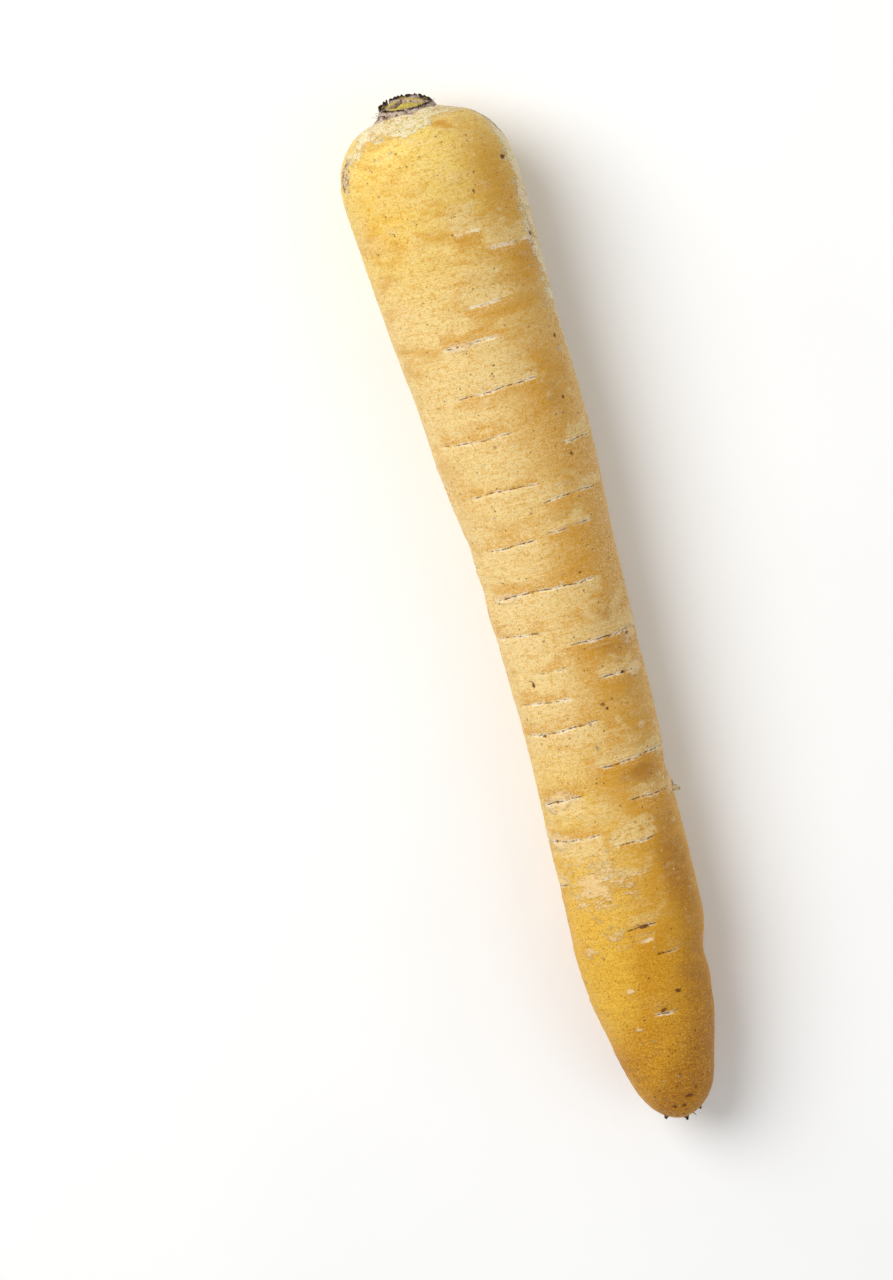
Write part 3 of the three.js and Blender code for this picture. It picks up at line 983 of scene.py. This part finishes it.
class CARROT_OT_skin(Operator):
    """Grow the root's skin over the CAD taproot, with its furrows, cork and pits"""

    bl_idname = "carrot.skin"
    bl_label = "Root Skin"

    def execute(self, context):
        skin = context.scene.carrot_skin
        rng = random.Random(skin.seed)
        low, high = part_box("taproot")
        mesh = capsule(skin, high.y, low.y)
        grid = RootGrid(skin, mesh, high.y, low.y)
        core, out = wrap(skin, grid, low, high)
        plain = core + grid.ray * out[:, None]
        station = (high.y - plain[:, 1]) / MM
        girth = 2 * math.pi * np.maximum(np.hypot(*(plain - core)[:, [0, 2]].T), 1 * MM) / MM
        furrows = list(FURROWS) + hidden_furrows(skin, rng)
        off, depth, cork = furrow_fields(furrows, station, grid.turn, rng)
        fields = {"furrow": off, "furrow_depth": depth, "furrow_cork": cork}
        fields["tone"] = furrow_tone(furrows, station, grid.turn)
        marks = {
            name: list(MARKS[name]) + scattered(rng, HIDDEN_SIDE, *strewn) for name, strewn in STREWN.items()
        }
        marks["pit"] += scattered(rng, UPPER_SIDE, *STREWN_UPPER_PITS)
        for name, placed in marks.items():
            fields[name] = mark_field(placed, station, grid.turn, girth)
        swell = MM * mark_field(SWELLINGS, station, grid.turn, girth)
        places = plain + grid.ray * (skin_relief(skin, plain, fields) + swell)[:, None]
        places[:, 1] += crown_collar(skin, places)
        places[:, 2] = np.maximum(places[:, 2], 0.02 * MM)  # its weight presses it flat on the floor
        write_places(mesh, places)
        for name, values in fields.items():
            write_attribute(mesh, name, values)
        strip_map(mesh, grid)
        new_piece("taproot_skin", mesh, skin_finish(skin, high), "skin", "taproot")
        return {"FINISHED"}


# ---------------------------------------------------------------- the crown


def remeshed(node, voxel, rounds):
    """A CAD node in even faces of a given size, with its edges rubbed down."""
    rough = add_object("blank", to_mesh(merged_copy(node), "blank"))
    modifier = rough.modifiers.new("even", "REMESH")
    modifier.mode = "VOXEL"
    modifier.voxel_size = voxel
    bpy.context.view_layer.update()
    graph = bpy.context.evaluated_depsgraph_get()
    even = bpy.data.meshes.new_from_object(rough.evaluated_get(graph))
    old = rough.data
    bpy.data.objects.remove(rough)
    bpy.data.meshes.remove(old)
    bm = bmesh.new()
    bm.from_mesh(even)
    bpy.data.meshes.remove(even)
    smoothed(bm, rounds)
    return bm


def side_walls(node):
    """The faces of a stalk that run along it, to measure from."""
    bm = merged_copy(node)
    ends = [face for face in bm.faces if abs(face.normal.y) > 0.5]
    bmesh.ops.delete(bm, geom=ends, context="FACES")
    return tree_of(bm)


def crown_place():
    """The middle of the stem plate and the turn that faces a shape made along Z out of it."""
    low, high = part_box("heart_bud")
    under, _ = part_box(OUTER_STALKS[1])
    over, over_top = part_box(OUTER_STALKS[4])
    lean = math.atan2(under.y - over.y, over_top.z - under.z)
    middle = Vector(((low.x + high.x) / 2, low.y, (low.z + high.z) / 2))
    turn = Matrix.Rotation(-math.pi / 2 - lean, 4, "X")
    return middle, Matrix.Translation(middle) @ turn


def cut_stalk(crown, node, seed, material, slot, swell):
    """A leaf stalk as the knife left it: fibrous sides, a sunken dry face and a torn rim."""
    walls = side_walls(node)
    mesh = to_mesh(remeshed(node, crown.voxel, 3), f"cut_{node}")
    places = read_places(mesh)
    normals = read_normals(mesh)
    rim = np.array([walls.find_nearest(Vector(p))[3] for p in places]) / MM
    cut = eased(normals[:, 1], 0.35, 0.4)
    fibres = noise_field(places, (0.5, 4, 0.5), seed, 3)
    crumbs = noise_field(places, (0.45, 0.45, 0.45), seed + 1, 3)
    height = swell + crown.fibre * (fibres * (1 - cut) + crumbs * cut)
    places += normals * height[:, None]
    teeth = np.clip(noise_field(places, (0.7, 5, 0.7), seed + 2, 3) + 0.35, 0, 1)
    middle, _ = crown_place()
    out = (places - np.array(middle)) / (STALK_RADIUS * MM)
    rim += 0.7 * eased(np.hypot(out[:, 0], out[:, 2]), 0.84, -0.12)  # black only at the outer rim
    rear = np.clip(0.6 - 0.5 * out[:, 2] - 0.25 * out[:, 0], 0.3, 1)
    torn = np.clip(1 - rim / 0.5, 0, 1) * np.clip(cut + 0.15, 0, 1)
    sunken = 0.15 * MM * cut * eased(rim, 0, 0.8)
    places[:, 1] += crown.ragged * torn * teeth * rear - sunken
    standing = eased(out[:, 1] * STALK_RADIUS, 0, 2)
    places[:, 1] -= crown.drop * standing * np.clip(-out[:, 0], 0, 1)
    places[:, 0] -= crown.lean * standing * out[:, 0]
    places[:, 2] -= crown.lean * standing * out[:, 2]
    write_places(mesh, places)
    write_attribute(mesh, "rim", rim)
    write_attribute(mesh, "cut", cut)
    return new_piece(mesh.name, mesh, material, slot, node)


def stalk_finish(name, crown, face):
    """Cut leaf stalk: a spotted face, a black torn rim and papery fibrous sides."""
    f = Finish(name)
    grain = f.noise(0.28, 3, 0.7)
    blotch = f.noise(1.3, 3, 0.6, 0.4)
    f.base = face
    f.coat(crown.fresh_pith, f.ramp(blotch, 0.42, 0.66, 0, 0.75))
    f.coat(crown.old_pith, f.ramp(grain, 0.5, 0.64, 0, 0.65))
    f.coat(crown.bundle, f.specks(0.7, 0.34, 0.6), 0.8)
    edge = f.plus(f.own("rim"), f.centred(grain, 0.5))
    f.coat(crown.dry_edge, f.ramp(edge, 0.95, 0.75), 0.55)
    f.coat(crown.rim, f.ramp(edge, 0.72, 0.5, 0, 0.97))
    top = f.base
    fibres = f.noise((0.22, 3, 0.22), 3, 0.65)
    f.base = crown.papery
    f.coat(crown.pale_wall, f.ramp(fibres, 0.38, 0.62))
    f.coat(crown.brown_wall, f.ramp(blotch, 0.45, 0.7, 0, 0.8))
    f.coat(crown.rim, f.specks(0.6, 0.45, 0.6, (3, 1, 1)))
    f.coat(top, f.own("cut"))
    f.roughen(fibres, 0.1, 0.9)
    f.roughen(grain, 0.08)
    return f.done(f.ramp(grain, 0.3, 0.7, 0.72, 0.92), 0.12)


class CARROT_OT_leaf_stalks(Operator):
    """Work the cut leaf stalks and the heart bud in place of their CAD solids"""

    bl_idname = "carrot.leaf_stalks"
    bl_label = "Leaf Stalks"

    def execute(self, context):
        crown = context.scene.carrot_crown
        dry = stalk_finish("dry_stalk", crown, crown.dry_pith)
        green = stalk_finish("green_stalk", crown, crown.pith)
        for i, node in enumerate(OUTER_STALKS):
            cut_stalk(crown, node, 20 + 3 * i, dry, "dry_stalk", crown.swell)
        for i, node in enumerate(INNER_STALKS):
            cut_stalk(crown, node, 50 + 3 * i, green, "green_stalk", crown.swell)
        cut_stalk(crown, "heart_bud", 80, green, "green_stalk", crown.bud_swell)
        return {"FINISHED"}


def strand(bm, place, base_width, reach, bend, sides=6, joints=6):
    """A dry hair that tapers and bends, from a circle drawn out step by step."""
    ring = bmesh.ops.create_circle(bm, cap_ends=True, segments=sides, radius=base_width, matrix=place)
    edges = ring_edges(ring)
    centre = place.translation.copy()
    heading = place.to_3x3() @ Vector((0, 0, 1))
    turn = Matrix.Rotation(bend / joints, 3, place.to_3x3() @ Vector((1, 0, 0)))
    for joint in range(joints):
        verts, edges = drawn_out(bm, edges)
        heading = turn @ heading
        step = heading * (reach / joints)
        bmesh.ops.translate(bm, verts=verts, vec=step)
        centre += step
        bmesh.ops.rotate(bm, verts=verts, cent=centre, matrix=turn)
        taper = 0.82 if joint < joints - 1 else 0.1
        bmesh.ops.scale(bm, verts=verts, vec=(taper,) * 3, space=Matrix.Translation(-centre))
    bmesh.ops.contextual_create(bm, geom=edges)


def planted(tree, place):
    """The same place and turn, moved onto the nearest point of a surface and a little into it."""
    moved = place.copy()
    moved.translation = tree.find_nearest(place.translation)[0]
    return moved @ Matrix.Translation((0, 0, -ROOTED))


def add_hairs(name, bm, slot, finish, size, start, dark, light, roughness):
    """The strands as one piece, mottled from dark to light."""
    bmesh.ops.recalc_face_normals(bm, faces=bm.faces)
    f = Finish(finish)
    f.base = dark
    f.coat(light, f.ramp(f.noise(size, 2), start, 0.65))
    new_piece(name, to_mesh(bm, name), f.done(roughness, 0.2), slot)


def stalk_tops(places):
    """How high the cut stalks stand in Y beside each place, looking down on them."""
    tree = surface_of(*(NODES[node].data for node in OUTER_STALKS))
    middle, _ = crown_place()
    tops = np.empty(len(places))
    for i, place in enumerate(places):
        inward = Vector(place) - middle
        inward.y = 0
        spot = middle + inward.normalized() * 5.6 * MM
        spot.y += 20 * MM
        hit = tree.ray_cast(spot, Vector((0, -1, 0)))[0]
        tops[i] = hit.y if hit else np.nan
    known = ~np.isnan(tops)
    order = np.arange(len(tops))
    return np.interp(order, order[known], tops[known])


def skirt_mesh(crown):
    """The papery foot of the crown: a thin wrinkled band that stands round the stalks."""
    middle, place = crown_place()
    radius = 5.92 * MM
    steps = 8
    bm = bmesh.new()
    ring = bmesh.ops.create_circle(bm, segments=200, radius=radius + crown.skirt_flare)
    edges = ring_edges(ring)
    bmesh.ops.translate(bm, verts=bm.verts, vec=(0, 0, -MM))
    for step in range(steps):
        verts, edges = drawn_out(bm, edges)
        before, now = (radius + crown.skirt_flare * (1 - s / steps) ** 1.6 for s in (step, step + 1))
        bmesh.ops.scale(bm, verts=verts, vec=(now / before, now / before, 1))
        bmesh.ops.translate(bm, verts=verts, vec=(0, 0, MM / steps))
    bmesh.ops.transform(bm, matrix=place, verts=bm.verts)
    bmesh.ops.recalc_face_normals(bm, faces=bm.faces)
    mesh = to_mesh(bm, "crown_skirt")
    places = read_places(mesh)
    out = places - np.array(middle)
    rise = 1 + out[:, 1] / MM
    foot = middle.y - 0.55 * MM
    reach = crown.skirt_height * (stalk_tops(places) - foot)
    places[:, 1] = foot + rise * reach
    out[:, 1] = 0
    out /= np.linalg.norm(out, axis=1)[:, None]
    creases = noise_field(places, (0.7, 3, 0.7), 91, 3)
    leaning = noise_field(places, (3, 3, 3), 92, 2)
    bulge = 0.16 * MM * creases + 0.2 * MM * np.clip(leaning, 0, 1) * rise
    places += out * (bulge - 0.5 * rise * reach)[:, None]
    torn = noise_field(places, (0.8, 9, 0.8), 93, 4) * 0.8 + 0.35 * noise_field(places, (4, 9, 4), 94, 1)
    places[:, 1] += rise**2 * torn * 0.45 * MM
    write_places(mesh, places)
    return mesh


def skirt_finish(crown):
    """Dead papery tissue: greyish pink, torn, and specked with black."""
    f = Finish("papery_skirt")
    grain = f.noise(0.25, 3, 0.7)
    fibres = f.noise((0.3, 2, 0.3), 3, 0.6)
    f.base = crown.papery
    f.coat(crown.pale_paper, f.ramp(fibres, 0.4, 0.62))
    f.coat(crown.brown_paper, f.ramp(f.noise(1.6, 3, 0.6, 0.5), 0.44, 0.6, 0, 0.8))
    f.coat(crown.rim, f.specks(0.7, 0.42, 0.6))
    f.coat(crown.rim, f.ramp(grain, 0.56, 0.68, 0, 0.85))
    f.roughen(fibres, 0.12)
    f.roughen(grain, 0.08)
    return f.done(f.ramp(grain, 0.3, 0.7, 0.75, 0.95), 0.12)


class CARROT_OT_crown_skirt(Operator):
    """Raise the papery skirt and the loose fibres round the cut stalks"""

    bl_idname = "carrot.crown_skirt"
    bl_label = "Crown Skirt"

    def execute(self, context):
        crown = context.scene.carrot_crown
        skirt = new_piece("crown_skirt", skirt_mesh(crown), skirt_finish(crown), "dry_stalk")
        wall = skirt.modifiers.new("thickness", "SOLIDIFY")
        wall.thickness = crown.skirt_thickness
        wall.offset = 1
        rng = random.Random(31)
        _, place = crown_place()
        ground = surface_of(skirt.data, *(bpy.data.objects[f"cut_{node}"].data for node in OUTER_STALKS))
        bm = bmesh.new()
        for _ in range(crown.fibres):
            turn = rng.uniform(0, 2 * math.pi)
            lean = rng.uniform(0.2, 1.2)
            radius = rng.uniform(5.5, 6.5) * MM
            spot = Matrix.Rotation(turn, 4, "Z") @ Matrix.Translation((radius, 0, rng.uniform(0.3, 1.6) * MM))
            tilt = Matrix.Rotation(lean, 4, "Y") @ Matrix.Rotation(rng.uniform(0, 6.3), 4, "Z")
            reach = crown.hair_length * rng.uniform(0.35, 1)
            root = planted(ground, place @ spot @ tilt)
            strand(bm, root, rng.uniform(0.05, 0.11) * MM, reach, rng.uniform(0.2, 1.4))
        shades = (crown.rim, crown.loose_fibre)
        add_hairs("crown_fibres", bm, "dry_stalk", "dead_fibre", 0.5, 0.4, *shades, 0.85)
        return {"FINISHED"}


# ---------------------------------------------------------------- the rootlets


def rootlet_finish(name, rootlets, bark, end):
    """Dried rootlet: creased bark with corky flecks, which darkens towards its broken end."""
    f = Finish(name)
    grain = f.noise(0.2, 3, 0.7)
    creases = f.noise((0.5, 0.25, 0.5), 3, 0.65, 0.8)
    f.base = rootlets.dark_bark
    f.coat(bark, f.ramp(creases, 0.36, 0.52))
    f.coat(rootlets.pale_bark, f.ramp(grain, 0.52, 0.64), f.own("foot"))
    f.coat(rootlets.dark_bark, f.ramp(f.own("foot"), end, end - 0.4, 0, 0.9))
    f.roughen(creases, 0.12)
    f.roughen(grain, 0.05)
    return f.done(f.ramp(grain, 0.3, 0.7, 0.75, 0.95), 0.2)


def dried_rootlet(rootlets, node, seed, material, twist):
    """A rootlet shrunk to a gnarled stub, let into the skin by a little. The twist is in mm."""
    mesh = to_mesh(remeshed(node, rootlets.voxel, 4), f"dried_{node}")
    places = read_places(mesh)
    low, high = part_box("taproot")
    middle = places.mean(0)
    along = min(max(middle[1], low.y + 12 * MM), high.y)
    core = np.array(((low.x + high.x) / 2, along, 13 * MM))
    axis = (middle - core) / np.linalg.norm(middle - core)
    rise = places @ axis
    rise = (rise - rise.min()) / (rise.max() - rise.min())
    knots = noise_field(places, (0.45, 0.45, 0.45), seed, 3)
    places += read_normals(mesh) * (rootlets.gnarl * knots * (0.4 + 0.6 * rise))[:, None]
    sideways = np.cross(axis, (0, 0, 1))
    places += sideways * (twist * MM * rise**2)[:, None]
    places -= axis * rootlets.sink
    foot = places - middle
    flare = (1 - rise) ** 3 * 0.35
    places += (foot - np.outer(foot @ axis, axis)) * flare[:, None]
    write_places(mesh, places)
    write_attribute(mesh, "foot", 1 - rise)
    return new_piece(mesh.name, mesh, material, "dry_rootlet", node)


class CARROT_OT_rootlets(Operator):
    """Shape the dried side rootlet, and the stubs and hairs at the root's end"""

    bl_idname = "carrot.rootlets"
    bl_label = "Rootlets"

    def execute(self, context):
        rootlets = context.scene.carrot_rootlets
        corky = rootlet_finish("corky_rootlet", rootlets, rootlets.pale_bark, 0.2)
        finish = rootlet_finish("dried_rootlet", rootlets, rootlets.bark, 0.7)
        dried_rootlet(rootlets, "side_rootlet", 101, corky, 0.5)
        for i, node in enumerate(TIP_ROOTLETS):
            dried_rootlet(rootlets, node, 110 + i, finish, 0.2 * (i - 1))
        low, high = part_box(TIP_ROOTLETS[1])
        ground = surface_of(bpy.data.objects["taproot_skin"].data)
        rng = random.Random(5)
        end_radius = 7 * MM
        bm = bmesh.new()
        for _ in range(rootlets.hairs):
            across = rng.uniform(-6, 6) * MM
            upwards = rng.uniform(-5, 5) * MM
            sag = (across**2 + upwards**2) / (2 * end_radius)
            spot = Vector(((low.x + high.x) / 2 + across, high.y + sag, (low.z + high.z) / 2 + upwards))
            tilt = Matrix.Rotation(math.pi / 2 + rng.uniform(-0.7, 0.7), 4, "X")
            tilt = Matrix.Rotation(rng.uniform(-0.7, 0.7), 4, "Z") @ tilt
            reach = rootlets.hair_length * rng.uniform(0.5, 1)
            root = planted(ground, Matrix.Translation(spot) @ tilt)
            strand(bm, root, rng.uniform(0.07, 0.16) * MM, reach, rng.uniform(-0.9, 0.9))
        shades = (rootlets.dark_bark, rootlets.bark)
        add_hairs("tip_hairs", bm, "dry_rootlet", "root_hair", 0.4, 0.45, *shades, 0.9)
        return {"FINISHED"}


# ---------------------------------------------------------------- the stage


def add_lamp(name, power, place, target):
    lamp = bpy.data.lights.new(name, "AREA")
    lamp.energy = power
    lamp.shape = "DISK"
    lamp.size = 0.8
    holder = add_object(name, lamp)
    holder.location = place
    holder.rotation_euler = (target - place).to_track_quat("-Z", "Y").to_euler()


class CARROT_OT_stage(Operator):
    """Lay the floor, hang the lamps and set the camera"""

    bl_idname = "carrot.stage"
    bl_label = "Stage"

    def execute(self, context):
        stage = context.scene.carrot_stage
        bm = bmesh.new()
        bmesh.ops.create_grid(bm, x_segments=12, y_segments=12, size=2.5)
        floor = add_object("floor", to_mesh(bm, "floor", smooth=False))
        matt = Finish("pale_floor")
        matt.base = stage.floor
        matt.coat(tuple(0.985 * c for c in stage.floor), matt.ramp(matt.noise(60, 2), 0.3, 0.7))
        floor.data.materials.append(matt.done(0.85, 0.2))

        world = bpy.data.worlds.new("studio")
        world.use_nodes = True
        sky = world.node_tree.nodes["Background"]
        sky.inputs["Color"].default_value = (1, 1, 1, 1)
        sky.inputs["Strength"].default_value = stage.sky
        context.scene.world = world
        context.scene.view_settings.view_transform = "Standard"

        roll = Matrix.Rotation(stage.roll, 3, "Z")
        target = Vector((0, 0, stage.height))
        add_lamp("key", stage.key_power, target + roll @ Vector((-0.62, 0.34, 0.78)), target)
        add_lamp("fill", stage.fill_power, target + roll @ Vector((0.7, -0.2, 0.6)), target)

        camera = bpy.data.cameras.new("camera")
        camera.lens = stage.lens
        camera.sensor_width = 36
        camera.clip_start = 0.01
        camera.clip_end = 100
        holder = add_object("camera", camera)
        aim = Matrix.Translation((stage.aim_across, stage.aim_along, stage.height))
        turn = Matrix.Rotation(-stage.tilt, 4, "X") @ Matrix.Rotation(stage.roll, 4, "Z")
        holder.matrix_world = aim @ turn @ Matrix.Translation((0, 0, stage.distance))
        context.scene.camera = holder
        return {"FINISHED"}


STEPS = (
    ("carrot_skin", SkinSettings, (CARROT_OT_skin,)),
    ("carrot_crown", CrownSettings, (CARROT_OT_leaf_stalks, CARROT_OT_crown_skirt)),
    ("carrot_rootlets", RootletSettings, (CARROT_OT_rootlets,)),
    ("carrot_stage", StageSettings, (CARROT_OT_stage,)),
)


class CARROT_PT_sidebar(Panel):
    """The carrot's pieces, in the order that they are made"""

    bl_label = "Yellow Carrot"
    bl_idname = "CARROT_PT_sidebar"
    bl_space_type = "VIEW_3D"
    bl_region_type = "UI"
    bl_category = "Carrot"

    def draw(self, context):
        for name, group, operators in STEPS:
            box = self.layout.box()
            for operator in operators:
                box.operator(operator.bl_idname)
            for setting in group.__annotations__:
                box.prop(getattr(context.scene, name), setting)


def register():
    for name, group, operators in STEPS:
        bpy.utils.register_class(group)
        setattr(bpy.types.Scene, name, PointerProperty(type=group))
        for operator in operators:
            bpy.utils.register_class(operator)
    bpy.utils.register_class(CARROT_PT_sidebar)


def unregister():
    bpy.utils.unregister_class(CARROT_PT_sidebar)
    for name, group, operators in reversed(STEPS):
        for operator in operators:
            bpy.utils.unregister_class(operator)
        delattr(bpy.types.Scene, name)
        bpy.utils.unregister_class(group)


def main():
    register()
    bpy.ops.carrot.skin()
    bpy.ops.carrot.leaf_stalks()
    bpy.ops.carrot.crown_skirt()
    bpy.ops.carrot.rootlets()
    bpy.ops.carrot.stage()


if __name__ == "__main__":
    main()
